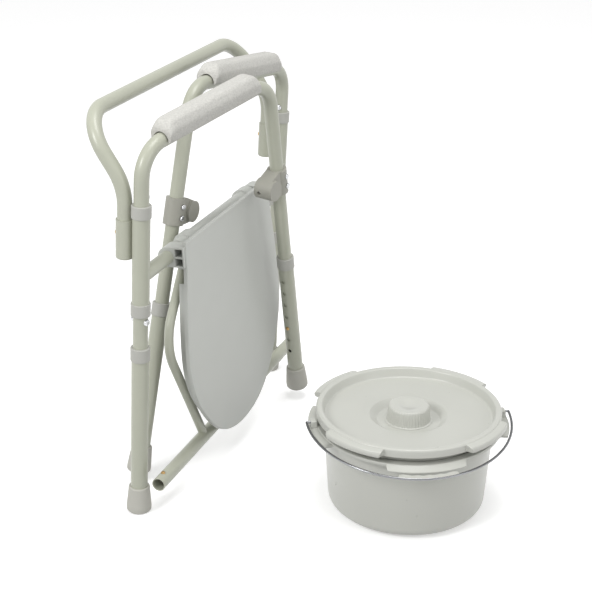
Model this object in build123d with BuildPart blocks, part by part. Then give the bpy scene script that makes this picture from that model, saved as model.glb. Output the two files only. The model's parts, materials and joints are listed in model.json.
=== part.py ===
from build123d import *
import os
from math import acos, atan2, cos, degrees, radians, sin, sqrt, tan

os.makedirs("parts", exist_ok=True)

# Folding commode chair, shown folded, with its pail standing in front of it.
# Millimetres, +Z up, the seat faces -Y, the origin is the middle of the bounding box's bottom face.

# ---- where the near rear leg meets the floor ----
LEG_X = -280.0
LEG_Y = 239.61
CHAIR_WIDTH = 560.0

# ---- tube sizes ----
TUBE_R = 11.5
TUBE_BORE = 10.3
SLEEVE_R = 13.5
SLEEVE_BORE = 12.3
BUSH_BORE = 11.56
COLLAR_R = 15.2
CROSSBAR_R = 11.0
RAIL_R = 7.5
RAIL_BORE = 6.0

# ---- back frame ----
LEAN = radians(2.95)
UPPER_COLLAR = (498.9, 518.7)
LOWER_COLLAR = (342.2, 362.7)
COLLAR_LIP = 6.5
CROSSBAR_S = 403.8
SOCKET_BACK = 27.0
SOCKET_SPAN = (430.7, 492.5)
SOCKET_BORE = 11.58
SOCKET_FLOOR = 3.0
SOCKET_BUTTON_S = 470.0

# ---- folding sides ----
NEAR_FOLD = radians(11.4)
FAR_FOLD = radians(-5.15)
REAR_CORNER = 601.0
ARM_RISE = radians(6.5)
ARM_REACH = 328.0
TUBE_BEND = 50.0
LEG_SPLAY = radians(13.6)
FRONT_LEG = {"near": 627.0, "far": 640.0}
CLAMP_TOP = {"near": 162.0, "far": 179.0}
BOLT_R = 3.0
BOLT_HEAD_R = 5.5
UPPER_BOLT_S = 528.0
LOWER_BOLT_S = 333.0

# ---- leg extensions, heights measured up from the foot's sole ----
EXT_COLLAR = (266.0, 288.0)
EXT_TOP = 284.0
EXT_BOTTOM = 9.0
HOLE_PITCH = 25.4
HOLE_COUNT = 7
FIRST_HOLE = 241.0
BUTTON_HOLE = 5
INNER_END = 101.7
HOLE_R = 3.5
BUTTON_R = 3.4
SOLE_LIFT = 0.93

# ---- seat support frame ----
HANG = radians(3.63)
FRAME_REACH = 344.0
BAR_R = 11.0
BAR_ENDS = (-12.0, 572.0)
BAR_BUTTON_IN = 19.0

# ---- seat and lid, measured from the crossbar axis ----
SEAT_X = 268.0
LID_FRONT = 30.0
LID_BACK = 23.4
LID_SKIN = 3.0
RING_FRONT = 23.0
RING_BACK = 11.4
RING_SKIN = 3.0

# ---- pail ----
PAIL_X = 184.0
PAIL_Y = -390.0
PAIL_TOP = 145.0
BAIL_TURN = 118.0
BAIL_R = 163.0
BAIL_WIRE_R = 2.0
BAIL_Z = 150.0
BAIL_DROP = 7.1

SIDES = {"near": 1, "far": -1}
BASE = {"near": LEG_X, "far": LEG_X + CHAIR_WIDTH}
UP = Vector(0, -sin(LEAN), cos(LEAN))
AHEAD = Vector(0, -cos(LEAN), -sin(LEAN))
ALONG = Vector(1, 0, 0)


def side_plane(side):
    """The plane of a folded side: x runs along the arm, z up the rear leg."""
    fold = NEAR_FOLD if side == "near" else FAR_FOLD
    arm = ALONG * (SIDES[side] * cos(fold)) + AHEAD * sin(fold)
    return Plane(origin=(BASE[side], LEG_Y, 0), x_dir=arm, z_dir=UP)


def on(base, origin, x_dir, z_dir):
    """A plane given in another plane's own coordinates."""
    return Plane(base.location * Plane(origin=origin, x_dir=x_dir, z_dir=z_dir).location)


def axis_plane(side, height, behind=0.0):
    """A plane across the rear leg's axis at a height up the leg."""
    spot = Vector(BASE[side], LEG_Y, 0) + UP * height - AHEAD * behind
    return Plane(origin=spot, x_dir=(1, 0, 0), z_dir=UP)


def rod(plane, radius, length, mode=Mode.ADD):
    """A round bar standing on a plane."""
    with Locations(plane.location):
        Cylinder(radius, length, align=(Align.CENTER, Align.CENTER, Align.MIN), mode=mode)


def bent_path(points, radii):
    """Lines through the points with a tangent bend at each inner corner."""
    corners = [Vector(*point) for point in points]
    start = corners[0]
    for corner, after, radius in zip(corners[1:-1], corners[2:], radii):
        back = (start - corner).normalized()
        forth = (after - corner).normalized()
        half = acos(back.dot(forth)) / 2
        trim = radius / tan(half)
        middle = (back + forth).normalized() * (radius / sin(half) - radius)
        Line(start, corner + back * trim)
        ThreePointArc(corner + back * trim, corner + middle, corner + forth * trim)
        start = corner + forth * trim
    Line(start, corners[-1])


def finish(piece, label):
    """Names a piece and writes its file."""
    piece.part.label = label
    export_step(piece.part, "parts/" + label + ".step")


# ==== back frame ====
for side in SIDES:
    with BuildPart() as sleeve:
        low = LOWER_COLLAR[0] + COLLAR_LIP
        high = UPPER_COLLAR[1] - COLLAR_LIP
        rod(axis_plane(side, low), SLEEVE_R, high - low)
        rod(axis_plane(side, low), SLEEVE_BORE, high - low, mode=Mode.SUBTRACT)
    finish(sleeve, "sleeve_" + side)

    for name, span, lip_up in (("upper", UPPER_COLLAR, True), ("lower", LOWER_COLLAR, False)):
        with BuildPart() as collar:
            tall = span[1] - span[0]
            rod(axis_plane(side, span[0]), COLLAR_R, tall)
            fillet(collar.edges().filter_by(GeomType.CIRCLE), 1.2)
            rod(axis_plane(side, span[0]), BUSH_BORE, tall, mode=Mode.SUBTRACT)
            seat_from = span[0] if lip_up else span[0] + COLLAR_LIP
            rod(axis_plane(side, seat_from), SLEEVE_R, tall - COLLAR_LIP, mode=Mode.SUBTRACT)
            # a flat lets the backrest tube pass beside the collar
            rod(axis_plane(side, span[0], SOCKET_BACK), TUBE_R + 0.4, tall, mode=Mode.SUBTRACT)
        finish(collar, "sleeve_collar_" + name + "_" + side)

    with BuildPart() as socket:
        tall = SOCKET_SPAN[1] - SOCKET_SPAN[0]
        rod(axis_plane(side, SOCKET_SPAN[0], SOCKET_BACK), SLEEVE_R, tall)
        sole = socket.faces().sort_by(Axis.Z)[0]
        fillet(sole.edges(), 3.0)
        cup = axis_plane(side, SOCKET_SPAN[0] + SOCKET_FLOOR, SOCKET_BACK)
        rod(cup, SOCKET_BORE, tall, mode=Mode.SUBTRACT)
        hole_spot = Vector(BASE[side], LEG_Y, 0) + UP * SOCKET_BUTTON_S - AHEAD * SOCKET_BACK
        rod(Plane(origin=hole_spot, z_dir=AHEAD * -1), HOLE_R, 20.0, mode=Mode.SUBTRACT)
        # the socket is welded into the flank of the sleeve
        rod(axis_plane(side, SOCKET_SPAN[0] - 1), SLEEVE_R, tall + 2, mode=Mode.SUBTRACT)
    finish(socket, "back_socket_" + side)

crossbar_spot = Vector(LEG_X, LEG_Y, 0) + UP * CROSSBAR_S
with BuildPart() as crossbar:
    rod(Plane(origin=crossbar_spot, z_dir=(1, 0, 0)), CROSSBAR_R, CHAIR_WIDTH)
    rod(Plane(origin=crossbar_spot, z_dir=(1, 0, 0)), CROSSBAR_R - 1.5, CHAIR_WIDTH, mode=Mode.SUBTRACT)
    for side in SIDES:
        rod(axis_plane(side, CROSSBAR_S - 30), SLEEVE_R, 60.0, mode=Mode.SUBTRACT)
finish(crossbar, "crossbar")

# ==== folding sides ====
corner_front = (ARM_REACH, REAR_CORNER + ARM_REACH * tan(ARM_RISE))
leg_run = (sin(LEG_SPLAY), -cos(LEG_SPLAY))


def leg_spot(down, behind=0.0, inward=0.0):
    """A point of the front leg in side coordinates."""
    across = corner_front[0] + leg_run[0] * down - cos(LEG_SPLAY) * behind
    height = corner_front[1] + leg_run[1] * down - sin(LEG_SPLAY) * behind
    return (across, inward, height)


BUTTON_UP = FIRST_HOLE - HOLE_PITCH * (BUTTON_HOLE - 1)

for side, hand in SIDES.items():
    base = side_plane(side)
    leg_up = (-leg_run[0], 0, -leg_run[1])
    to_rear = (-cos(LEG_SPLAY), 0, -sin(LEG_SPLAY))
    front_leg = FRONT_LEG[side]

    # -- the bent tube of the side --
    with BuildPart() as side_tube:
        with BuildLine() as side_path:
            rail = [(0, 0, INNER_END + SOLE_LIFT), (0, 0, REAR_CORNER), (corner_front[0], 0, corner_front[1])]
            rail.append(leg_spot(front_leg - INNER_END))
            bent_path([base.from_local_coords(Vector(*p)) for p in rail], (TUBE_BEND, TUBE_BEND))
        with BuildSketch(on(base, (0, 0, INNER_END + SOLE_LIFT), (1, 0, 0), (0, 0, 1))):
            Circle(TUBE_R)
            Circle(TUBE_BORE, mode=Mode.SUBTRACT)
        sweep(path=side_path.wires()[0])
        # holes for the two bolts and the two spring buttons
        bolt_cut = on(base, (0, 0, UPPER_BOLT_S), (0, 0, 1), (1, 0, 0))
        rod(bolt_cut, BOLT_R, 20.0, mode=Mode.SUBTRACT)
        bolt_cut = on(base, (0, -20, LOWER_BOLT_S), (0, 0, 1), (0, 1, 0))
        rod(bolt_cut, BOLT_R, 40.0, mode=Mode.SUBTRACT)
        button_cut = on(base, (0, 0, BUTTON_UP + SOLE_LIFT), (0, 0, 1), (1, 0, 0))
        rod(button_cut, HOLE_R, 20.0, mode=Mode.SUBTRACT)
        button_cut = on(base, leg_spot(front_leg - BUTTON_UP), (0, 1, 0), to_rear)
        rod(button_cut, HOLE_R, 20.0, mode=Mode.SUBTRACT)
    finish(side_tube, "side_tube_" + side)

    # -- arm pad --
    pad_from = 45.5
    pad_long = 238.0
    pad_half = 20.0
    pad_top = 30.8
    pad_under = -10.0
    arm_dir = (cos(ARM_RISE), 0, sin(ARM_RISE))
    pad_spot = (arm_dir[0] * pad_from, 0, REAR_CORNER + arm_dir[2] * pad_from)
    with BuildPart() as pad:
        with BuildSketch(on(base, pad_spot, (0, 1, 0), arm_dir)) as pad_shape:
            with BuildLine():
                Polyline((-pad_half, 15), (-pad_half + 8, pad_top), (pad_half - 8, pad_top), (pad_half, 15),
                         (pad_half, pad_under + 3), (pad_half - 2, pad_under), (-pad_half + 2, pad_under),
                         (-pad_half, pad_under + 3), close=True)
            make_face()
        extrude(amount=pad_long)
        pad_axis = Axis(origin=(0, 0, 0), direction=base.x_dir * arm_dir[0] + base.z_dir * arm_dir[2])
        crown = Vector(*base.z_dir) * cos(ARM_RISE) - Vector(*base.x_dir) * sin(ARM_RISE)
        top_axis = Axis(origin=(0, 0, 0), direction=crown)
        end_faces = pad.faces().sort_by(pad_axis)
        near_edge = end_faces[0].edges().sort_by(top_axis)[-1]
        far_edge = end_faces[-1].edges().sort_by(top_axis)[-1]
        chamfer([near_edge, far_edge], 9.0)
        rod(on(base, (0, 0, REAR_CORNER), (0, 1, 0), arm_dir), TUBE_R, 320.0, mode=Mode.SUBTRACT)
        for mouth in (pad_from - 4, pad_from + pad_long - 16):
            relief = (arm_dir[0] * mouth, 0, REAR_CORNER + arm_dir[2] * mouth)
            rod(on(base, relief, (0, 1, 0), arm_dir), TUBE_R + 1.6, 20.0, mode=Mode.SUBTRACT)
    finish(pad, "arm_pad_" + side)

    # -- clamp and cup that takes the end of the front bar --
    clamp_top = CLAMP_TOP[side]
    clamp_tall = 44.0
    cup_down = clamp_top + 22.0
    cup_behind = 33.0
    cup_r = 17.5
    cup_wall = 15.0
    cup_face = -18.0 * hand
    with BuildPart() as bracket:
        rod(on(base, leg_spot(clamp_top + clamp_tall), (0, 1, 0), leg_up), 16.5, clamp_tall)
        cup_plane = on(base, leg_spot(cup_down, cup_behind, cup_face), (1, 0, 0), (0, hand, 0))
        rod(cup_plane, cup_r, 33.0)
        with BuildSketch(on(base, leg_spot(cup_down, 0, -13.0), to_rear, (0, 1, 0))):
            # x runs to the rear of the leg, y up along it
            with BuildLine():
                Polyline((0, 23), (12, 23), (cup_behind + 4, 17), (cup_behind + 4, -17),
                         (12, -21), (0, -21), close=True)
            make_face()
        extrude(amount=26.0)
        rod(on(base, leg_spot(clamp_top + clamp_tall + 1), (0, 1, 0), leg_up), TUBE_R, clamp_tall + 2,
            mode=Mode.SUBTRACT)
        bore_plane = on(base, leg_spot(cup_down, cup_behind, cup_face + 3.5 * hand), (1, 0, 0), (0, hand, 0))
        rod(bore_plane, BAR_R + 0.8, 40.0, mode=Mode.SUBTRACT)
        hole_plane = on(base, leg_spot(cup_down, cup_behind, 5.0 * hand), (0, 1, 0), to_rear)
        rod(hole_plane, HOLE_R, 30.0, mode=Mode.SUBTRACT)
        for screw_down in (-9.0, 9.0):
            out = on(base, leg_spot(cup_down + screw_down, -3.0, -11.6 * hand), (1, 0, 0), (0, -hand, 0))
            rod(out, 2.5, 12.0, mode=Mode.SUBTRACT)
    finish(bracket, "leg_bracket_" + side)

    for name, screw_down in (("upper", -9.0), ("lower", 9.0)):
        with BuildPart() as screw:
            out = on(base, leg_spot(cup_down + screw_down, -3.0, -12.2 * hand), (1, 0, 0), (0, -hand, 0))
            rod(out, 2.5, 6.0)
            head = on(base, leg_spot(cup_down + screw_down, -3.0, -16.6 * hand), (1, 0, 0), (0, -hand, 0))
            rod(head, 4.6, 2.6)
            fillet(screw.faces().sort_by(Axis((0, 0, 0), out.z_dir))[-1].edges(), 1.4)
        finish(screw, "bracket_screw_" + name + "_" + side)

    # -- bolts that stop the side lifting out of its sleeve --
    bolts = (
        ("upper", on(base, (0, 0, UPPER_BOLT_S), (0, 0, 1), (1, 0, 0))),
        ("lower", on(base, (0, 0, LOWER_BOLT_S), (0, 0, 1), (0, -hand, 0))),
    )
    for name, bolt_plane in bolts:
        with BuildPart() as bolt:
            rod(bolt_plane.offset(TUBE_R - 1.5), BOLT_HEAD_R, 5.0)
            outer = bolt.faces().sort_by(Axis((0, 0, 0), bolt_plane.z_dir))[-1]
            fillet(outer.edges(), 3.0)
            if name == "lower":
                with BuildSketch(bolt_plane.offset(-TUBE_R - 3.5)):
                    RegularPolygon(5.2, 6)
                extrude(amount=4.6)
            leg_axis = on(base, (0, 0, (UPPER_BOLT_S if name == "upper" else LOWER_BOLT_S) - 15), (1, 0, 0), (0, 0, 1))
            rod(leg_axis, TUBE_R, 30.0, mode=Mode.SUBTRACT)
            reach = TUBE_R + 5.0 if name == "lower" else -TUBE_BORE + 3.0
            rod(bolt_plane.offset(-reach), BOLT_R, TUBE_R + 1.0 + reach)
        finish(bolt, "retaining_bolt_" + name + "_" + side)

    # -- leg extensions with collar, foot and spring button --
    legs = {
        "rear": (on(base, (0, 0, SOLE_LIFT), (1, 0, 0), (0, 0, 1)), 1),
        "front": (on(base, leg_spot(front_leg), (cos(LEG_SPLAY), 0, sin(LEG_SPLAY)), leg_up), -1),
    }
    for leg, (sole_plane, turn) in legs.items():
        tag = leg + "_" + side
        with BuildPart() as extension:
            rod(sole_plane.offset(EXT_BOTTOM), SLEEVE_R, EXT_TOP - EXT_BOTTOM)
            rod(sole_plane.offset(EXT_BOTTOM), SLEEVE_BORE, EXT_TOP - EXT_BOTTOM, mode=Mode.SUBTRACT)
            for hole in range(HOLE_COUNT):
                up = FIRST_HOLE - HOLE_PITCH * hole
                rod(on(sole_plane, (0, 0, up), (0, 0, 1), (turn, 0, 0)), HOLE_R, 20.0, mode=Mode.SUBTRACT)
        finish(extension, "extension_" + tag)

        with BuildPart() as collar:
            tall = EXT_COLLAR[1] - EXT_COLLAR[0]
            rod(sole_plane.offset(EXT_COLLAR[0]), COLLAR_R, tall)
            fillet(collar.edges().filter_by(GeomType.CIRCLE), 1.2)
            rod(sole_plane.offset(EXT_COLLAR[0]), BUSH_BORE, tall, mode=Mode.SUBTRACT)
            rod(sole_plane.offset(EXT_COLLAR[0]), SLEEVE_R, EXT_TOP - EXT_COLLAR[0], mode=Mode.SUBTRACT)
        finish(collar, "extension_collar_" + tag)

        with BuildPart() as foot:
            with BuildSketch(on(sole_plane, (0, 0, 0), (1, 0, 0), (0, -1, 0))):
                with BuildLine():
                    Polyline((0, 0), (18.0, 0), (19.6, 2.0), (19.8, 8.0), (16.8, 42.0), (15.8, 43.5),
                             (SLEEVE_R, 43.5), (SLEEVE_R, EXT_BOTTOM), (0, EXT_BOTTOM), close=True)
                make_face()
            revolve(axis=Axis(origin=sole_plane.origin, direction=sole_plane.z_dir))
        finish(foot, "foot_" + tag)

        with BuildPart() as button:
            press = on(sole_plane, (0, 0, BUTTON_UP), (0, 0, 1), (turn, 0, 0))
            rod(press.offset(6.0), BUTTON_R, 9.6)
            tip = button.faces().sort_by(Axis((0, 0, 0), press.z_dir))[-1]
            fillet(tip.edges(), 2.0)
            rod(press.offset(6.0), 4.8, 1.6)
        finish(button, "snap_button_" + tag)

# ==== seat support frame ====
FRAME = Plane(origin=crossbar_spot, x_dir=(1, 0, 0), z_dir=(0, -cos(HANG), sin(HANG)))

with BuildPart() as front_bar:
    bar_plane = on(FRAME, (BAR_ENDS[0], -FRAME_REACH, 0), (0, 1, 0), (1, 0, 0))
    bar_long = BAR_ENDS[1] - BAR_ENDS[0]
    rod(bar_plane, BAR_R, bar_long)
    rod(bar_plane, BAR_R - 1.3, bar_long, mode=Mode.SUBTRACT)
    for end_in in (BAR_BUTTON_IN, bar_long - BAR_BUTTON_IN):
        rod(on(bar_plane, (0, 0, end_in), (0, 0, 1), (1, 0, 0)), HOLE_R, 20.0, mode=Mode.SUBTRACT)
finish(front_bar, "front_bar")

for side, hand in SIDES.items():
    end_in = BAR_BUTTON_IN if side == "near" else bar_long - BAR_BUTTON_IN
    with BuildPart() as button:
        press = on(bar_plane, (0, 0, end_in), (0, 0, 1), (1, 0, 0))
        rod(press.offset(5.2), BUTTON_R, 8.2)
        tip = button.faces().sort_by(Axis((0, 0, 0), press.z_dir))[-1]
        fillet(tip.edges(), 2.0)
        rod(press.offset(5.2), 4.8, 1.6)
    finish(button, "bar_button_" + side)

    middle = CHAIR_WIDTH / 2
    with BuildPart() as seat_rail:
        with BuildLine() as rail_path:
            knees = [(middle - hand * 117.0, -10.0, 0), (middle - hand * 226.0, -133.0, 0)]
            knees.append((middle - hand * 117.0, -FRAME_REACH, 0))
            bent_path([FRAME.from_local_coords(Vector(*p)) for p in knees], (70.0,))
        with BuildSketch(Plane(origin=rail_path.wires()[0] @ 0, z_dir=rail_path.wires()[0] % 0)):
            Circle(RAIL_R)
        sweep(path=rail_path.wires()[0])
        rod(bar_plane, BAR_R, bar_long, mode=Mode.SUBTRACT)
        rod(on(FRAME, (0, 0, 0), (0, 1, 0), (1, 0, 0)), 14.0, CHAIR_WIDTH, mode=Mode.SUBTRACT)
    finish(seat_rail, "seat_rail_" + side)

    with BuildPart() as rail_eye:
        eye_long = 18.0
        eye = on(FRAME, (middle - hand * 117.0 - eye_long / 2, 0, 0), (0, 1, 0), (1, 0, 0))
        rod(eye, 14.0, eye_long)
        rod(eye, CROSSBAR_R + 0.05, eye_long, mode=Mode.SUBTRACT)
    finish(rail_eye, "rail_eye_" + side)

# ==== seat ring and lid ====
LID_SHAPE = ((163, 22), (172, -22), (180, -68), (189, -134), (191.5, -176), (186, -216), (168, -257),
             (141, -293), (104, -328), (58, -350), (0, -358))


def seat_outline(shrink_x, shrink_low, top):
    """The outline of the seat, a shield with a rounded front."""
    half = [(x - shrink_x * min(1.0, x / 60), y if y > top else y + shrink_low * max(0.0, -y / 358))
            for x, y in LID_SHAPE]
    half = [point for point in half if point[1] < top - 8]
    start_x = half[0][0] - 3
    right = [(start_x, top)] + half
    left = [(-x, y) for x, y in reversed(right[:-1])]
    with BuildLine() as outline:
        Spline(*(right + left), tangents=((0.15, -1), (0.15, 1)))
        Line((-start_x, top), (start_x, top))
    make_face(outline.edges())


with BuildPart() as seat_ring:
    with BuildSketch(on(FRAME, (SEAT_X, 0, RING_BACK), (1, 0, 0), (0, 0, 1))):
        seat_outline(9.0, 8.0, -2.0)
        with Locations((0, -190)):
            Ellipse(105, 132, mode=Mode.SUBTRACT)
    extrude(amount=RING_FRONT - RING_BACK)
    # the ring is a thin moulding, open at the back
    with BuildSketch(on(FRAME, (SEAT_X, 0, RING_BACK), (1, 0, 0), (0, 0, 1))):
        seat_outline(12.0, 11.0, -24.0)
        with Locations((0, -190)):
            Ellipse(108, 135, mode=Mode.SUBTRACT)
    extrude(amount=RING_FRONT - RING_BACK - RING_SKIN, mode=Mode.SUBTRACT)
    for hand in (-1, 1):
        with BuildSketch(on(FRAME, (SEAT_X + hand * 164.0, -9, 0), (1, 0, 0), (0, 0, 1))):
            Rectangle(31, 22)
        extrude(amount=30.0, mode=Mode.SUBTRACT)
    hood_long = 280.0
    hood = on(FRAME, (SEAT_X - hood_long / 2, 0, 0), (0, 1, 0), (1, 0, 0))
    rod(hood, 14.5, hood_long)
    with BuildSketch(on(FRAME, (SEAT_X, 0, RING_BACK), (1, 0, 0), (0, 0, 1))):
        with Locations((0, -8)):
            Rectangle(hood_long, 16)
    extrude(amount=8.0)
    for side, hand in SIDES.items():
        block = on(FRAME, (middle - hand * 117.0 - 13, 0, 0), (0, 1, 0), (1, 0, 0))
        rod(block, 18.2, 26.0)
    rod(on(FRAME, (0, 0, 0), (0, 1, 0), (1, 0, 0)), CROSSBAR_R + 0.3, CHAIR_WIDTH, mode=Mode.SUBTRACT)
    for side, hand in SIDES.items():
        eye = on(FRAME, (middle - hand * 117.0 - 10, 0, 0), (0, 1, 0), (1, 0, 0))
        rod(eye, 14.6, 20.0, mode=Mode.SUBTRACT)
    # open the hood behind and below so that it drops over the crossbar
    with BuildSketch(on(FRAME, (CHAIR_WIDTH / 2, -20, -30), (1, 0, 0), (0, 0, 1))):
        Rectangle(CHAIR_WIDTH, 40)
    extrude(amount=30.0 + 9.0, mode=Mode.SUBTRACT)
finish(seat_ring, "seat_ring")

for side, hand in SIDES.items():
    with BuildPart() as bumper:
        spot = on(FRAME, (middle - hand * 140.0, -36.0, RAIL_R + 0.25), (1, 0, 0), (0, 0, 1))
        rod(spot, 6.0, RING_FRONT - RING_SKIN - RAIL_R - 0.25)
    finish(bumper, "seat_bumper_" + side)

with BuildPart() as lid:
    with BuildSketch(on(FRAME, (SEAT_X, 0, LID_BACK), (1, 0, 0), (0, 0, 1))):
        seat_outline(0.0, 0.0, 22.0)
    extrude(amount=LID_FRONT - LID_BACK)
    edge_face = lid.faces().sort_by(Axis((0, 0, 0), FRAME.z_dir))[-1]
    fillet(edge_face.edges(), 1.6)
    with BuildSketch(on(FRAME, (SEAT_X, 0, LID_BACK), (1, 0, 0), (0, 0, 1))):
        seat_outline(3.0, 3.0, 19.0)
    extrude(amount=LID_FRONT - LID_BACK - LID_SKIN, mode=Mode.SUBTRACT)
    for hand in (-1, 1):
        clamp_long = 28.0
        clamp_x = SEAT_X + hand * 164.0 - clamp_long / 2
        rod(on(FRAME, (clamp_x, 0, 0), (0, 1, 0), (1, 0, 0)), 16.0, clamp_long)
        with BuildSketch(on(FRAME, (clamp_x, 0, 0), (0, 1, 0), (1, 0, 0))):
            with Locations((0, 14)):
                Rectangle(32, 28)
        extrude(amount=clamp_long)
        with BuildSketch(on(FRAME, (SEAT_X + hand * 178.0, 0, 0), (0, 1, 0), (hand, 0, 0))):
            for shelf in (-7.6, 7.6):
                with Locations((shelf, hand * 19.7)):
                    Rectangle(12.2, 12.6)
        extrude(amount=-24.0, mode=Mode.SUBTRACT)
    rod(on(FRAME, (0, 0, 0), (0, 1, 0), (1, 0, 0)), CROSSBAR_R + 0.05, CHAIR_WIDTH, mode=Mode.SUBTRACT)
finish(lid, "seat_lid")

for side, hand in SIDES.items():
    with BuildPart() as bumper:
        rod(on(FRAME, (SEAT_X - hand * 150.0, -225.0, LID_BACK - 0.2), (1, 0, 0), (0, 0, 1)), 5.0,
            LID_FRONT - LID_SKIN - LID_BACK + 0.2)
    finish(bumper, "lid_bumper_" + side)

# ==== backrest ====
elbow_s = 542.0
top_y = 64.0
top_z = 642.0
with BuildPart() as backrest:
    with BuildLine() as back_path:
        foot_s = SOCKET_SPAN[0] + SOCKET_FLOOR + 0.1
        stations = []
        for side in SIDES:
            low_spot = axis_plane(side, foot_s, SOCKET_BACK).origin
            elbow = axis_plane(side, elbow_s, SOCKET_BACK).origin
            crest = Vector(BASE[side], LEG_Y + top_y, top_z)
            leg = [low_spot, elbow, crest]
            stations += leg if side == "near" else leg[::-1]
        bent_path([tuple(spot) for spot in stations], (90.0, 62.0, 62.0, 90.0))
    with BuildSketch(axis_plane("near", foot_s, SOCKET_BACK)):
        Circle(TUBE_R)
        Circle(TUBE_BORE, mode=Mode.SUBTRACT)
    sweep(path=back_path.wires()[0])
    for side in SIDES:
        spot = axis_plane(side, SOCKET_BUTTON_S, SOCKET_BACK).origin
        rod(Plane(origin=spot, z_dir=AHEAD * -1), HOLE_R, 20.0, mode=Mode.SUBTRACT)
finish(backrest, "backrest_tube")

for side in SIDES:
    with BuildPart() as button:
        press = Plane(origin=axis_plane(side, SOCKET_BUTTON_S, SOCKET_BACK).origin, z_dir=AHEAD * -1)
        rod(press.offset(6.0), BUTTON_R, 9.6)
        tip = button.faces().sort_by(Axis((0, 0, 0), press.z_dir))[-1]
        fillet(tip.edges(), 2.0)
        rod(press.offset(6.0), 4.8, 1.6)
    finish(button, "backrest_button_" + side)

# ==== pail ====
PAIL = Plane(origin=(LEG_X + PAIL_X, LEG_Y + PAIL_Y, 0), x_dir=(1, 0, 0), z_dir=(0, 0, 1))
PAIL_AXIS = Axis(origin=PAIL.origin, direction=(0, 0, 1))


def pail_profile():
    """The half section plane of the pail."""
    return Plane(origin=PAIL.origin, x_dir=(1, 0, 0), z_dir=(0, -1, 0))


def ear(turn, half_angle, radius_in, radius_out, low, tall):
    """A piece of flange between two radii, centred on an angle."""
    with BuildSketch(PAIL.offset(low)) as flange:
        with BuildLine() as outline:
            start = turn - half_angle
            inner = CenterArc((0, 0), radius_in, start, 2 * half_angle)
            outer = CenterArc((0, 0), radius_out, start, 2 * half_angle)
            Line(inner @ 0, outer @ 0)
            Line(inner @ 1, outer @ 1)
        make_face(outline.edges())
    extrude(flange.sketch, amount=tall)


with BuildPart() as pail:
    with BuildSketch(pail_profile()):
        with BuildLine():
            Polyline((0, 0), (102, 0), (114, 4), (121.5, 12), (125, 25), (134.6, 139.5), (147, 139.5),
                     (147, 144.8), (133.2, 144.8), (132, 143.5), (122.6, 26), (119, 13.5), (112.5, 6.6),
                     (102, 3), (0, 3), close=True)
        make_face()
    revolve(axis=PAIL_AXIS)
    for turn in (BAIL_TURN, BAIL_TURN + 180):
        ear(turn, 27.0, 146.0, 159.4, 139.5, 4.0)
        ear(turn, 3.0, 146.0, 157.5, 143.0, 11.4)
    for turn in (BAIL_TURN + 90, BAIL_TURN + 270):
        ear(turn, 25.0, 146.0, 151.5, 139.5, 4.6)
    axle = Plane(origin=PAIL.origin + Vector(0, 0, BAIL_Z), z_dir=(cos(radians(BAIL_TURN)),
                                                                   sin(radians(BAIL_TURN)), 0))
    rod(axle.offset(-165.0), BAIL_WIRE_R + 0.05, 330.0, mode=Mode.SUBTRACT)
finish(pail, "pail")

turn_dir = Vector(cos(radians(BAIL_TURN)), sin(radians(BAIL_TURN)), 0)
grip_side = Vector(-sin(radians(BAIL_TURN)), cos(radians(BAIL_TURN)), 0)
grip_dir = grip_side * cos(radians(BAIL_DROP)) + Vector(0, 0, -sin(radians(BAIL_DROP)))
hub = PAIL.origin + Vector(0, 0, BAIL_Z)
with BuildPart() as bail:
    with BuildLine() as bail_path:
        ThreePointArc(hub + turn_dir * BAIL_R, hub + grip_dir * BAIL_R, hub - turn_dir * BAIL_R)
    with BuildSketch(Plane(origin=hub + turn_dir * BAIL_R, z_dir=grip_dir)):
        Circle(BAIL_WIRE_R)
    sweep(path=bail_path.wires()[0])
    for end_dir in (turn_dir, turn_dir * -1):
        rod(Plane(origin=hub + end_dir * 147.6, z_dir=end_dir), BAIL_WIRE_R, BAIL_R - 147.6)
        with Locations(hub + end_dir * BAIL_R):
            Sphere(BAIL_WIRE_R)
finish(bail, "bail_wire")

with BuildPart() as grip:
    grip_half = 18.0
    first = turn_dir * sin(radians(grip_half)) + grip_dir * cos(radians(grip_half))
    last = turn_dir * -sin(radians(grip_half)) + grip_dir * cos(radians(grip_half))
    tangent = turn_dir * -cos(radians(grip_half)) + grip_dir * sin(radians(grip_half))
    with BuildLine() as grip_path:
        ThreePointArc(hub + first * BAIL_R, hub + grip_dir * BAIL_R, hub + last * BAIL_R)
    with BuildSketch(Plane(origin=hub + first * BAIL_R, z_dir=tangent)):
        Circle(6.5)
        Circle(BAIL_WIRE_R, mode=Mode.SUBTRACT)
    sweep(path=grip_path.wires()[0])
finish(grip, "bail_grip")

with BuildPart() as pail_lid:
    with BuildSketch(pail_profile()):
        with BuildLine():
            Polyline((0, 148), (52.5, 148), (65, 158.6), (133.5, 159.4), (136.2, 160.5), (136.2, 144.85),
                     (139.0, 144.85), (139.0, 164), (140.5, 167), (144.2, 166.5), (144.2, 156),
                     (146.6, 156), (146.6, 168), (144.2, 170), (139.5, 170), (137, 168), (133, 162.4),
                     (64, 161.4), (51.5, 151), (0, 151), close=True)
        make_face()
    revolve(axis=PAIL_AXIS)
    for turn in (72, 162, 252, 342):
        ear(turn, 18.0, 145.5, 158.6, 157.0, 12.0)
finish(pail_lid, "pail_lid")

with BuildPart() as knob:
    with BuildSketch(pail_profile()):
        with BuildLine():
            Polyline((0, 151), (34.5, 151), (32.5, 170), (31, 172), (13, 172), (12.4, 171.2), (0, 171.2),
                     close=True)
        make_face()
    revolve(axis=PAIL_AXIS)
    flute = Plane(origin=PAIL.origin + Vector(0, 0, 152), z_dir=(0, 0, 1))
    with Locations(flute.location):
        with PolarLocations(36.4, 36):
            Cylinder(2.2, 30.0, align=(Align.CENTER, Align.CENTER, Align.MIN), mode=Mode.SUBTRACT)
finish(knob, "pail_lid_knob")
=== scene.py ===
import json
import math

import bpy
import bmesh
from mathutils import Matrix, Vector


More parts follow.
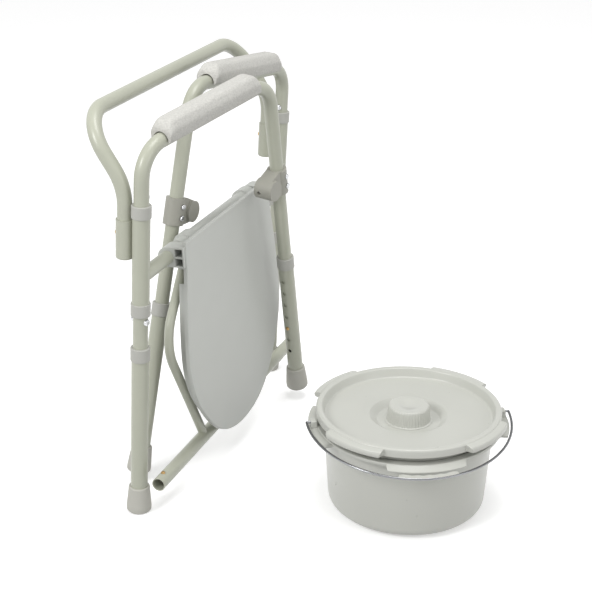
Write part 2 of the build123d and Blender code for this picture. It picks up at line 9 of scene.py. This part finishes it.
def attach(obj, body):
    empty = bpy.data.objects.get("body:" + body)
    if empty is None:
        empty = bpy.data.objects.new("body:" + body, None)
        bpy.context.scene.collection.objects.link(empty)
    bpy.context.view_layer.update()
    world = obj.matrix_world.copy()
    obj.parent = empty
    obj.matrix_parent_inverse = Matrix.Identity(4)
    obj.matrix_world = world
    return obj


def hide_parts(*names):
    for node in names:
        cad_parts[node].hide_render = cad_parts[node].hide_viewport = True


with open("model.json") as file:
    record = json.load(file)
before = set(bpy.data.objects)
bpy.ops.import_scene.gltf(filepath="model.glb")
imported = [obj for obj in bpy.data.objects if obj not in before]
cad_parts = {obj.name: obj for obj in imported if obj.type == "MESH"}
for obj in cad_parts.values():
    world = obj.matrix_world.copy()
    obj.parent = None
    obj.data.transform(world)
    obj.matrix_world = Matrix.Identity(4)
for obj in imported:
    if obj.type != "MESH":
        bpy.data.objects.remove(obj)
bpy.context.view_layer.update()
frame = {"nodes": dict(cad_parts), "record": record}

# ---- the object's own sizes, in metres, repeated from the part ----
LEG = {"near": Vector((-0.280, 0.23961, 0.0)), "far": Vector((0.280, 0.23961, 0.0))}
LEAN = math.radians(2.95)
FOLD = {"near": math.radians(11.4), "far": math.radians(-5.15)}
HAND = {"near": 1.0, "far": -1.0}
REAR_CORNER = 0.601
ARM_RISE = math.radians(6.5)
UP = Vector((0.0, -math.sin(LEAN), math.cos(LEAN)))
AHEAD = Vector((0.0, -math.cos(LEAN), -math.sin(LEAN)))
PAIL = Vector((-0.096, -0.15039, 0.0))
MM = 0.001


def srgb(red, green, blue):
    """Linear colour of an 8-bit screen colour."""
    def lin(value):
        value /= 255.0
        return value / 12.92 if value <= 0.04045 else ((value + 0.055) / 1.055) ** 2.4
    return (lin(red), lin(green), lin(blue), 1.0)


# ======================= materials =======================
def material(name, colour, rough, metal=0.0, specular=0.5, mottle=0.03, mottle_scale=14.0,
             grain=0.0, grain_scale=900.0, grain_depth=0.0004, rough_swing=0.06):
    """A moulded, coated or metal surface: colour drift, uneven gloss and, if asked, fine grain."""
    made = bpy.data.materials.new(name)
    made.use_nodes = True
    tree = made.node_tree
    shader = tree.nodes["Principled BSDF"]
    shader.inputs["Metallic"].default_value = metal
    shader.inputs["Specular IOR Level"].default_value = specular
    place = tree.nodes.new("ShaderNodeTexCoord")

    drift = tree.nodes.new("ShaderNodeTexNoise")
    drift.inputs["Scale"].default_value = mottle_scale
    drift.inputs["Detail"].default_value = 5.0
    tree.links.new(place.outputs["Object"], drift.inputs["Vector"])
    ramp = tree.nodes.new("ShaderNodeValToRGB")
    ramp.color_ramp.elements[0].position = 0.3
    ramp.color_ramp.elements[1].position = 0.7
    low = [c * (1.0 - mottle) for c in colour[:3]] + [1.0]
    high = [min(1.0, c * (1.0 + mottle)) for c in colour[:3]] + [1.0]
    ramp.color_ramp.elements[0].color = low
    ramp.color_ramp.elements[1].color = high
    tree.links.new(drift.outputs["Fac"], ramp.inputs["Fac"])
    tree.links.new(ramp.outputs["Color"], shader.inputs["Base Color"])

    gloss = tree.nodes.new("ShaderNodeTexNoise")
    gloss.inputs["Scale"].default_value = mottle_scale * 4.0
    gloss.inputs["Detail"].default_value = 6.0
    tree.links.new(place.outputs["Object"], gloss.inputs["Vector"])
    spread = tree.nodes.new("ShaderNodeMapRange")
    spread.inputs["To Min"].default_value = max(0.02, rough - rough_swing)
    spread.inputs["To Max"].default_value = min(1.0, rough + rough_swing)
    tree.links.new(gloss.outputs["Fac"], spread.inputs["Value"])
    tree.links.new(spread.outputs["Result"], shader.inputs["Roughness"])

    if grain:
        fine = tree.nodes.new("ShaderNodeTexNoise")
        fine.inputs["Scale"].default_value = grain_scale
        fine.inputs["Detail"].default_value = 3.0
        tree.links.new(place.outputs["Object"], fine.inputs["Vector"])
        bump = tree.nodes.new("ShaderNodeBump")
        bump.inputs["Strength"].default_value = grain
        bump.inputs["Distance"].default_value = grain_depth
        tree.links.new(fine.outputs["Fac"], bump.inputs["Height"])
        tree.links.new(bump.outputs["Normal"], shader.inputs["Normal"])
    return made


# slot: colour, roughness, and where the surface differs from material()'s own values
FINISHES = {
    "powder_coat": (srgb(171, 173, 158), 0.31, dict(mottle=0.02, grain=0.10, grain_scale=700.0)),
    "collar_plastic": (srgb(171, 171, 165), 0.46, dict(mottle=0.03, grain=0.06)),
    "bracket_plastic": (srgb(153, 152, 143), 0.46, dict(mottle=0.04, grain=0.06)),
    "pad_foam": (srgb(191, 190, 185), 0.82,
                 dict(specular=0.25, mottle=0.11, mottle_scale=380.0,
                      grain=1.0, grain_scale=560.0, grain_depth=0.0012)),
    "seat_plastic": (srgb(185, 187, 182), 0.46,
                     dict(mottle=0.015, grain=0.07, grain_scale=1200.0)),
    "pail_plastic": (srgb(187, 188, 181), 0.30,
                     dict(mottle=0.015, grain=0.04, grain_scale=1200.0)),
    "foot_rubber": (srgb(176, 175, 167), 0.66, dict(mottle=0.05, grain=0.25, grain_scale=600.0)),
    "brass_button": (srgb(196, 160, 108), 0.30, dict(metal=1.0, mottle=0.06)),
    "zinc_hardware": (srgb(205, 206, 208), 0.26, dict(metal=1.0, mottle=0.05)),
    "steel_wire": (srgb(140, 141, 143), 0.24, dict(metal=1.0, mottle=0.05)),
}
MATERIALS = {slot: material(slot, colour, rough, **rest)
             for slot, (colour, rough, rest) in FINISHES.items()}

SLOT_OF = {part["node"]: part["material_slot"] for part in frame["record"]["subparts"]}
for node, obj in frame["nodes"].items():
    obj.data.materials.clear()
    obj.data.materials.append(MATERIALS[SLOT_OF[node]])


# ======================= mesh helpers =======================
def new_piece(name, verts, faces, slot_name, body, nodes, smooth_angle=40.0):
    """A mesh piece that rides on a body and stands for CAD nodes."""
    mesh = bpy.data.meshes.new(name)
    mesh.from_pydata([tuple(v) for v in verts], [], faces)
    mesh.update()
    work = bmesh.new()
    work.from_mesh(mesh)
    bmesh.ops.remove_doubles(work, verts=work.verts, dist=1e-6)
    bmesh.ops.recalc_face_normals(work, faces=work.faces)
    work.to_mesh(mesh)
    work.free()
    for face in mesh.polygons:
        face.use_smooth = True
    mesh.set_sharp_from_angle(angle=math.radians(smooth_angle))
    obj = bpy.data.objects.new(name, mesh)
    bpy.context.scene.collection.objects.link(obj)
    obj.data.materials.append(MATERIALS[slot_name])
    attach(obj, body)
    if nodes:
        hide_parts(*nodes)
    return obj


def bevel(obj, width, angle):
    """Rounds the edges that turn by more than an angle, in degrees."""
    mod = obj.modifiers.new("round", "BEVEL")
    mod.width = width
    mod.segments = 3
    mod.limit_method = "ANGLE"
    mod.angle_limit = math.radians(angle)
    mod.harden_normals = False


def loft_faces(stations, count):
    """Faces of a closed form: one ring of count points a station, and a cap at each end."""
    faces = []
    for k in range(stations - 1):
        for i in range(count):
            j = (i + 1) % count
            faces.append((k * count + i, k * count + j, (k + 1) * count + j, (k + 1) * count + i))
    last = (stations - 1) * count
    faces.append(tuple(range(count)))
    faces.append(tuple(last + i for i in range(count))[::-1])
    return faces


def rounded(corners):
    """A closed profile with filleted corners, from rows of (distance out, height, fillet)."""
    line = []
    total = len(corners)
    for k, (r, z, fillet) in enumerate(corners):
        here = Vector((r, z))
        before = Vector(corners[k - 1][:2]) - here
        after = Vector(corners[(k + 1) % total][:2]) - here
        if fillet <= 0 or before.length < 1e-9 or after.length < 1e-9:
            line.append((r, z))
            continue
        angle = before.angle(after)
        trim = min(fillet / math.tan(angle / 2), before.length * 0.49, after.length * 0.49)
        true_r = trim * math.tan(angle / 2)
        bisector = (before.normalized() + after.normalized()).normalized()
        centre = here + bisector * (true_r / math.sin(angle / 2))
        first = here + before.normalized() * trim - centre
        last = here + after.normalized() * trim - centre
        sweep = first.angle_signed(last)
        steps = max(2, int(abs(sweep) / math.radians(14)) + 1)
        base = math.atan2(first.y, first.x)
        for s in range(steps + 1):
            a = base - sweep * s / steps
            line.append((centre.x + true_r * math.cos(a), centre.y + true_r * math.sin(a)))
    return line


def about_pail(r, turn, z):
    """The point at a radius and height, in millimetres, turned about the pail's axis."""
    return PAIL + Vector((r * math.cos(turn), r * math.sin(turn), z)) * MM


# ======================= arm pads =======================
PAD_FROM = 0.0455
PAD_LONG = 0.238
PAD_TOP = 0.0305
GROOVE_R = 0.0122
PAD_UNDER = -0.0012
PAD_END_LONG = 0.030
# how a pad tapers at its end: distance in, height and width as shares, radius of the groove
PAD_END = [(0.0, 0.56, 0.90, 0.0136), (0.0008, 0.62, 0.94, 0.0134),
           (0.0026, 0.71, 0.965, 0.0130), (0.0055, 0.82, 0.985, 0.0126),
           (0.0090, 0.92, 0.995, GROOVE_R), (0.0130, 0.975, 1.0, GROOVE_R),
           (0.0180, 1.0, 1.0, GROOVE_R), (PAD_END_LONG, 1.0, 1.0, GROOVE_R)]
PAD_SPANS = 8


def pad_section(top_scale, wide_scale, groove):
    """Half-moon grooved section of an arm pad: across, up."""
    corners = [(0.0, PAD_TOP, 0.0), (0.0130, 0.0304, 0.0095), (0.0200, 0.0165, 0.0130),
               (0.0192, PAD_UNDER, 0.0024), (groove, PAD_UNDER, 0.0008)]
    outer = [(x * wide_scale, z * (top_scale if z > 0 else 1.0)) for x, z in rounded(corners)]
    outer = [point for point in outer if point[0] > 1e-5]
    arch = [(groove * math.cos(math.radians(a)), groove * math.sin(math.radians(a)))
            for a in range(0, 90, 15)]
    right = outer + arch
    left = [(-x, z) for x, z in right[::-1]]
    return [(0.0, PAD_TOP * top_scale)] + right + [(0.0, groove)] + left


for side in ("near", "far"):
    arm = Vector((HAND[side] * math.cos(FOLD[side]), 0, 0)) + AHEAD * math.sin(FOLD[side])
    run = arm * math.cos(ARM_RISE) + UP * math.sin(ARM_RISE)
    rise = UP * math.cos(ARM_RISE) - arm * math.sin(ARM_RISE)
    across = rise.cross(run)
    start = LEG[side] + UP * REAR_CORNER + run * PAD_FROM
    middle = [(PAD_END_LONG + (PAD_LONG - 2 * PAD_END_LONG) * k / PAD_SPANS, 1.0, 1.0, GROOVE_R)
              for k in range(1, PAD_SPANS)]
    far_end = [(PAD_LONG - along, top, wide, groove) for along, top, wide, groove in PAD_END[::-1]]
    stations = PAD_END + middle + far_end
    verts = []
    for along, top_scale, wide_scale, groove in stations:
        verts += [start + run * along + across * x + rise * z
                  for x, z in pad_section(top_scale, wide_scale, groove)]
    faces = loft_faces(len(stations), len(verts) // len(stations))
    pad = new_piece("arm_pad_skin_" + side, verts, faces, "pad_foam", "side_" + side,
                    ["arm_pad_" + side])
    bevel(pad, 0.0010, 50.0)


# ======================= pail and lid, sizes in millimetres =======================
def lathe(name, corners, body, nodes, segments=144):
    """Turns a closed profile about the pail's axis."""
    line = rounded(corners)
    verts = []
    faces = []
    on_axis = [r < 1e-6 for r, z in line]
    index = {}
    for i, (r, z) in enumerate(line):
        for s in range(1 if on_axis[i] else segments):
            index[i, s] = len(verts)
            verts.append(about_pail(r, 2 * math.pi * s / segments, z))
    total = len(line)
    for i in range(total):
        j = (i + 1) % total
        if on_axis[i] and on_axis[j]:
            continue
        for s in range(segments):
            t = (s + 1) % segments
            loop = [index[i, 0 if on_axis[i] else s], index[i, 0 if on_axis[i] else t],
                    index[j, 0 if on_axis[j] else t], index[j, 0 if on_axis[j] else s]]
            loop = [v for k, v in enumerate(loop) if v != loop[k - 1]]
            if len(loop) > 2:
                faces.append(tuple(loop))
    new_piece(name, verts, faces, "pail_plastic", body, nodes, 35.0)


def arc_slab(name, turn, half, section, body, steps=14):
    """A slab round the rim, from rows of (radius, height, degrees pulled in at each end)."""
    verts = []
    for k in range(steps + 1):
        for r, z, pull in section:
            share = k / steps
            reach = half - pull
            verts.append(about_pail(r, math.radians(turn - reach + 2 * reach * share), z))
    faces = loft_faces(steps + 1, len(section))
    piece = new_piece(name, verts, faces, "pail_plastic", body, [], 45.0)
    bevel(piece, 0.0009, 35.0)


PAIL_SHELL = [(0, 0.0, 0), (100, 0.0, 22), (125.2, 6.0, 20), (134.6, 139.4, 1.2),
              (146.9, 139.4, 1.0), (146.9, 144.7, 1.6), (133.0, 144.7, 2.4), (122.8, 9.0, 16),
              (100, 2.8, 20), (0, 2.8, 0)]
BAIL_EAR = [(145.5, 139.6, 0), (159.3, 139.6, 1.2), (159.3, 143.2, 1.2), (145.5, 143.6, 0)]
BAIL_LUG = [(146.5, 143.0, 0), (157.2, 143.0, 0), (156.6, 154.2, 0.6), (148.0, 154.2, 0.6)]
GRIP_EAR = [(145.5, 140.6, 0), (154.6, 135.2, 2.2), (155.2, 137.4, 2.2), (150.0, 141.8, 0.8),
            (146.0, 144.6, 0)]
LID_SHELL = [(0, 143.4, 0), (49.0, 143.4, 3), (61.0, 152.0, 3), (127.8, 152.6, 0.6),
             (127.8, 138.4, 0.6), (130.2, 138.4, 0.6), (130.4, 152.6, 0.8), (134.4, 153.6, 1.5),
             (138.8, 167.4, 1.5), (144.2, 167.4, 1.5), (144.2, 156.2, 0.8), (146.6, 156.2, 0.8),
             (146.6, 169.9, 3.4), (137.0, 169.9, 3.2), (132.4, 154.9, 4.0), (62.0, 154.4, 3.0),
             (50.5, 146.0, 3.0), (0, 146.0, 0)]
LID_REST = [(136.2, 144.9, 0), (139.2, 144.9, 0), (139.6, 167.6, 0), (138.6, 167.6, 0)]
LID_TAB = [(145.8, 157.4, 0), (157.4, 157.2, 2.2), (158.5, 159.0, 2.0), (158.3, 164.4, 1.0),
           (157.0, 167.0, 0.8), (151.5, 168.6, 0.4), (145.8, 168.8, 0.0)]

lathe("pail_shell", PAIL_SHELL, "pail", ["pail"])
for number, turn in enumerate((118, 298)):
    arc_slab("pail_bail_ear_%d" % number, turn, 27, BAIL_EAR, "pail")
    arc_slab("pail_bail_lug_%d" % number, turn, 3.2, BAIL_LUG, "pail", steps=4)
for number, turn in enumerate((208, 28)):
    arc_slab("pail_grip_ear_%d" % number, turn, 25, GRIP_EAR, "pail")

lathe("pail_lid_shell", LID_SHELL, "pail_cover", ["pail_lid"])
for number, turn in enumerate((118, 298, 28)):
    arc_slab("pail_lid_rest_%d" % number, turn, 5, LID_REST, "pail_cover", steps=4)
for number, turn in enumerate((72, 162, 252, 342)):
    arc_slab("pail_lid_tab_%d" % number, turn, 20, LID_TAB, "pail_cover")


# ======================= pail lid knob, sizes in millimetres =======================
# the knob is fluted round its side and has a shallow dish on top: radius, height, share of flute
KNOB_ROWS = [(0.0, 145.8, 0), (37.6, 145.8, 0), (38.0, 146.6, 0), (35.3, 147.6, 1),
             (33.6, 158.0, 1), (32.7, 168.0, 1), (31.9, 170.6, 1), (30.6, 171.7, 0),
             (28.0, 171.95, 0), (14.5, 171.9, 0), (13.4, 171.1, 0), (0.0, 171.1, 0)]
KNOB_FLUTES = 44
FLUTE_DEPTH = 0.75
around = KNOB_FLUTES * 6
verts = []
faces = []
for r, z, fluted in KNOB_ROWS:
    for s in range(around):
        a = 2 * math.pi * s / around
        dip = FLUTE_DEPTH * (0.5 - 0.5 * math.cos(KNOB_FLUTES * a)) ** 2 * fluted
        verts.append(about_pail(r - dip, a, z))
for k in range(len(KNOB_ROWS) - 1):
    for s in range(around):
        t = (s + 1) % around
        faces.append((k * around + s, k * around + t, (k + 1) * around + t, (k + 1) * around + s))
new_piece("pail_lid_knob_fluted", verts, faces, "pail_plastic", "pail_cover", ["pail_lid_knob"],
          50.0)


# ======================= bail grip =======================
# a slab on the inner side of the wire, waved for the fingers and thinned at both ends
BAIL_TURN = math.radians(118.0)
BAIL_DROP = math.radians(7.1)
BAIL_HUB = PAIL + Vector((0.0, 0.0, 0.150))
BAIL_AXIS = Vector((math.cos(BAIL_TURN), math.sin(BAIL_TURN), 0.0))
GRIP_AWAY = Vector((-math.sin(BAIL_TURN) * math.cos(BAIL_DROP),
                    math.cos(BAIL_TURN) * math.cos(BAIL_DROP), -math.sin(BAIL_DROP)))
GRIP_NORMAL = BAIL_AXIS.cross(GRIP_AWAY)
GRIP_HALF = math.radians(16.5)
GRIP_STEPS = 72
GRIP_INNER = 0.1552
GRIP_OUTER = 0.1636
GRIP_HALF_UP = 0.0029
FINGER_WAVES = 4
WAVE_DEPTH = 0.00165
# shares of the grip's length: its thinned ends, where the waves start and how far they run
END_SHARE = 0.06
WAVES_FROM = 0.12
WAVES_RUN = 0.76
verts = []
for k in range(GRIP_STEPS + 1):
    share = k / GRIP_STEPS
    a = -GRIP_HALF + 2 * GRIP_HALF * share
    out = GRIP_AWAY * math.cos(a) + BAIL_AXIS * math.sin(a)
    end = min(1.0, min(share, 1.0 - share) / END_SHARE)
    waved = min(1.0, max(0.0, (share - WAVES_FROM) / WAVES_RUN))
    wave = WAVE_DEPTH * (1.0 - math.cos(2 * math.pi * FINGER_WAVES * waved)) / 2
    inner = GRIP_INNER + wave + 0.0012 * (1.0 - end)
    half_up = GRIP_HALF_UP - 0.0006 * (1.0 - end)
    edge = [(inner, half_up * 0.6), (inner + 0.0008, half_up), (0.1600, half_up),
            (0.1630, half_up * 0.85), (GRIP_OUTER, half_up * 0.4)]
    section = edge + [(r, -h) for r, h in edge[::-1]]
    verts += [BAIL_HUB + out * r + GRIP_NORMAL * h for r, h in section]
faces = loft_faces(GRIP_STEPS + 1, len(verts) // (GRIP_STEPS + 1))
new_piece("bail_grip_waved", verts, faces, "pail_plastic", "bail", ["bail_grip"], 50.0)


# ======================= camera =======================
CAM_AT = Vector((-1.98472, -0.66999, 1.17261))
CAM_RIGHT = Vector((0.35381, -0.93531, 0.00367))
CAM_UP = Vector((0.35963, 0.13966, 0.92258))
CAM_INTO = Vector((0.86341, 0.32510, -0.38578))
camera = bpy.data.objects.new("camera", bpy.data.cameras.new("camera"))
bpy.context.scene.collection.objects.link(camera)
turn = Matrix((CAM_RIGHT, CAM_UP, -CAM_INTO)).transposed()
camera.matrix_world = Matrix.Translation(CAM_AT) @ turn.to_4x4()
camera.data.sensor_width = 36.0
camera.data.lens = 84.05
camera.data.clip_end = 100.0
bpy.context.scene.camera = camera
bpy.context.scene.view_settings.view_transform = "Standard"

# ======================= floor =======================
WHITE = (1.0, 1.0, 1.0, 1.0)
FLOOR = 60.0
FLOOR_DROP = 0.0005
floor_mesh = bpy.data.meshes.new("floor")
floor_mesh.from_pydata([(-FLOOR, -FLOOR, 0), (FLOOR, -FLOOR, 0), (FLOOR, FLOOR, 0),
                        (-FLOOR, FLOOR, 0)], [], [(0, 1, 2, 3)])
floor = bpy.data.objects.new("floor", floor_mesh)
bpy.context.scene.collection.objects.link(floor)
floor_paint = bpy.data.materials.new("floor_paint")
floor_paint.use_nodes = True
paint = floor_paint.node_tree.nodes["Principled BSDF"]
paint.inputs["Base Color"].default_value = (0.93, 0.93, 0.93, 1.0)
paint.inputs["Roughness"].default_value = 0.9
paint.inputs["Specular IOR Level"].default_value = 0.2
paint.inputs["Emission Color"].default_value = WHITE
paint.inputs["Emission Strength"].default_value = 0.30
floor.data.materials.append(floor_paint)
floor.location.z = -FLOOR_DROP
floor.visible_diffuse = False

# ======================= sky =======================
# white round the horizon, dimmer overhead and dimmer still below
world = bpy.data.worlds.new("studio")
bpy.context.scene.world = world
world.use_nodes = True
sky = world.node_tree
where = sky.nodes.new("ShaderNodeTexCoord")
split = sky.nodes.new("ShaderNodeSeparateXYZ")
shade = sky.nodes.new("ShaderNodeValToRGB")
shade.color_ramp.elements[0].position = 0.34
shade.color_ramp.elements[0].color = (0.47, 0.47, 0.47, 1.0)
shade.color_ramp.elements[1].position = 0.47
shade.color_ramp.elements[1].color = WHITE
for height, grey in ((0.60, 1.0), (0.76, 0.62)):
    shade.color_ramp.elements.new(height).color = (grey, grey, grey, 1.0)
lift = sky.nodes.new("ShaderNodeMapRange")
lift.inputs["From Min"].default_value = -1.0
sky.links.new(where.outputs["Generated"], split.inputs["Vector"])
sky.links.new(split.outputs["Z"], lift.inputs["Value"])
sky.links.new(lift.outputs["Result"], shade.inputs["Fac"])
sky.links.new(shade.outputs["Color"], sky.nodes["Background"].inputs["Color"])
sky.nodes["Background"].inputs["Strength"].default_value = 1.0

# ======================= lamps =======================
# soft squares: place, target, edge, power
LAMPS = {
    "key": ((-2.1, 1.1, 1.9), (0.0, 0.0, 0.3), 0.8, 32.0),
    "fill": ((-1.0, -2.4, 1.4), (0.0, 0.0, 0.3), 1.2, 9.0),
    "top": ((-0.2, -0.3, 2.8), (0.0, 0.0, 0.2), 1.2, 30.0),
}
for name, (spot, target, edge, power) in LAMPS.items():
    lamp = bpy.data.lights.new(name, "AREA")
    lamp.shape = "SQUARE"
    lamp.size = edge
    lamp.energy = power
    obj = bpy.data.objects.new(name, lamp)
    obj.location = spot
    aim = Vector(target) - Vector(spot)
    obj.rotation_euler = aim.to_track_quat("-Z", "Y").to_euler()
    bpy.context.scene.collection.objects.link(obj)
